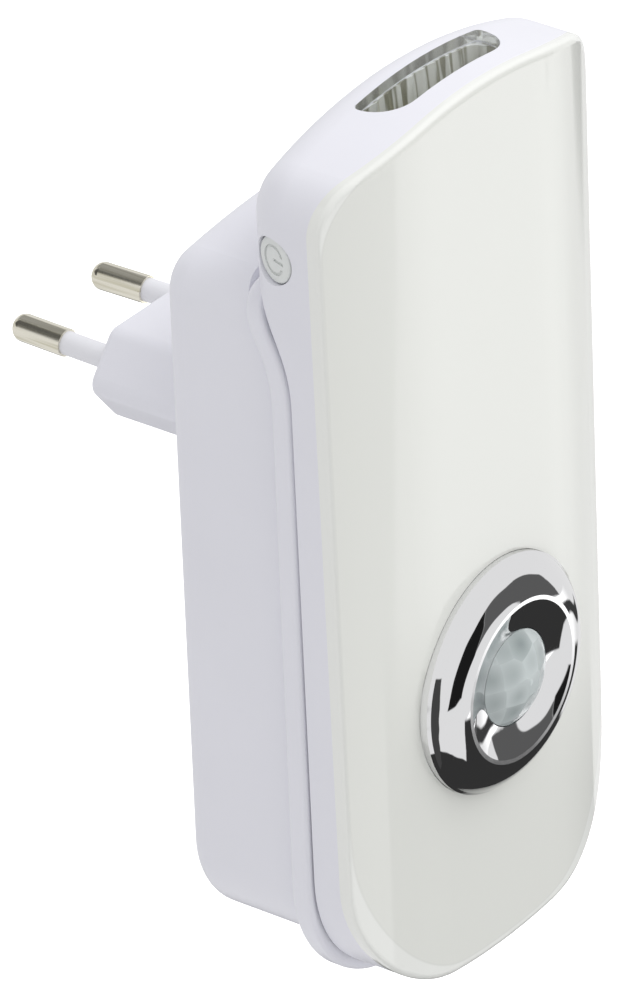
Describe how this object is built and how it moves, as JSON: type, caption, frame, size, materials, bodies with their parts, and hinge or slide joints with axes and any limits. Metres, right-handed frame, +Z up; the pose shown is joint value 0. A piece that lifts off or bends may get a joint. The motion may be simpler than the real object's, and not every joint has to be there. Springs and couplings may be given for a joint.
{
  "type": "plug-in night light",
  "caption": "Wall plug dock with a removable night light lamp: arched clear front over a diffuser, chrome ringed motion sensor, torch window on top and a side button.",
  "frame": {"origin": "Centre of the plug's contact face, midway between the two pins, on the face that meets the socket.", "axes": "+Y points into the wall along the plug, so the front faces -Y. +Z is up. +X is to the right seen from the front."},
  "size_m": [0.0604, 0.0796, 0.1344],
  "materials": {
    "housing_white": "smooth white moulded plastic, fine satin gloss",
    "cover_acrylic": "clear acrylic over a white print, polished",
    "diffuser_opal": "opal light diffuser, matte",
    "ring_chrome": "mirror chrome plated plastic",
    "reflector_chrome": "vacuum metallised cups",
    "lens_polymer": "milky infra-red lens, faceted",
    "collar_black": "black light-tight foam collar",
    "sensor_can": "nickel plated can",
    "sensor_filter": "dark infra-red filter",
    "photocell_clear": "clear light sensor body",
    "torch_window_clear": "clear moulded window",
    "pin_metal": "nickel plated brass, bright",
    "sleeve_plastic": "white insulating sleeve",
    "carrier_plastic": "heat resistant insert",
    "screw_steel": "zinc plated steel, cross recess",
    "board_laminate": "green solder mask laminate",
    "torch_board_white": "aluminium board with a white mask",
    "film_case": "yellow film capacitor case",
    "bulk_sleeve": "shrink sleeved can",
    "chip_black": "black moulded package",
    "fuse_body": "lacquered fusible resistor",
    "choke_core": "ferrite drum core",
    "winding_copper": "enamelled copper wire",
    "ferrite_sheet": "sintered ferrite sheet",
    "lead_red": "insulated lead",
    "lead_blue": "insulated lead",
    "led_white": "light emitting diode, phosphor face",
    "small_parts_beige": "ceramic chip parts",
    "cell_wrap": "laminated pouch cell",
    "cell_strip_laminate": "polyimide covered protection strip",
    "tape_white": "double sided foam tape",
    "button_white": "white button cap",
    "switch_black": "moulded switch body",
    "retainer_plastic": "push-on retaining ring"
  },
  "bodies": {
    "dock": {"plug_pin_left": "pin_metal", "plug_pin_right": "pin_metal", "pin_sleeve_left": "sleeve_plastic", "pin_sleeve_right": "sleeve_plastic", "pin_carrier": "carrier_plastic", "dock_shell": "housing_white", "dock_tray": "housing_white", "dock_screws": "screw_steel", "supply_board": "board_laminate", "supply_screws": "screw_steel", "film_capacitor": "film_case", "bulk_capacitors": "bulk_sleeve", "rectifier": "chip_black", "driver_chips": "chip_black", "choke": "choke_core", "choke_winding": "winding_copper", "fuse_resistor": "fuse_body", "mains_leads": "lead_blue", "send_coil": "winding_copper", "send_ferrite": "ferrite_sheet", "send_coil_leads": "winding_copper"},
    "lamp": {"lamp_housing": "housing_white", "front_cover": "cover_acrylic", "diffuser": "diffuser_opal", "lamp_screws": "screw_steel", "chrome_ring": "ring_chrome", "ring_retainer": "retainer_plastic", "sensor_lens": "lens_polymer", "sensor_collar": "collar_black", "motion_sensor": "sensor_can", "sensor_window": "sensor_filter", "light_sensor": "photocell_clear", "main_board": "board_laminate", "board_screws": "screw_steel", "control_chips": "chip_black", "board_parts": "small_parts_beige", "night_leds": "led_white", "receive_coil": "winding_copper", "receive_ferrite": "ferrite_sheet", "receive_coil_leads": "winding_copper", "cell": "cell_wrap", "cell_tape": "tape_white", "cell_strip": "cell_strip_laminate", "cell_leads": "lead_red", "torch_window": "torch_window_clear", "torch_reflector": "reflector_chrome", "torch_board": "torch_board_white", "torch_leds": "led_white", "torch_leads": "lead_red", "side_switch": "switch_black", "switch_board": "board_laminate", "switch_leads": "lead_blue"},
    "button": {"power_button": "button_white", "switch_plunger": "switch_black"}
  },
  "joints": [
    {"name": "lamp_lift", "type": "slide", "parent": "dock", "child": "lamp", "axis": [0, 0, 1], "range_m": [0, 0.06]},
    {"name": "button_press", "type": "slide", "parent": "lamp", "child": "button", "axis": [0.9455, -0.3256, 0], "range_m": [0, 0.0005], "stiffness_N_per_m": 800}
  ]
}
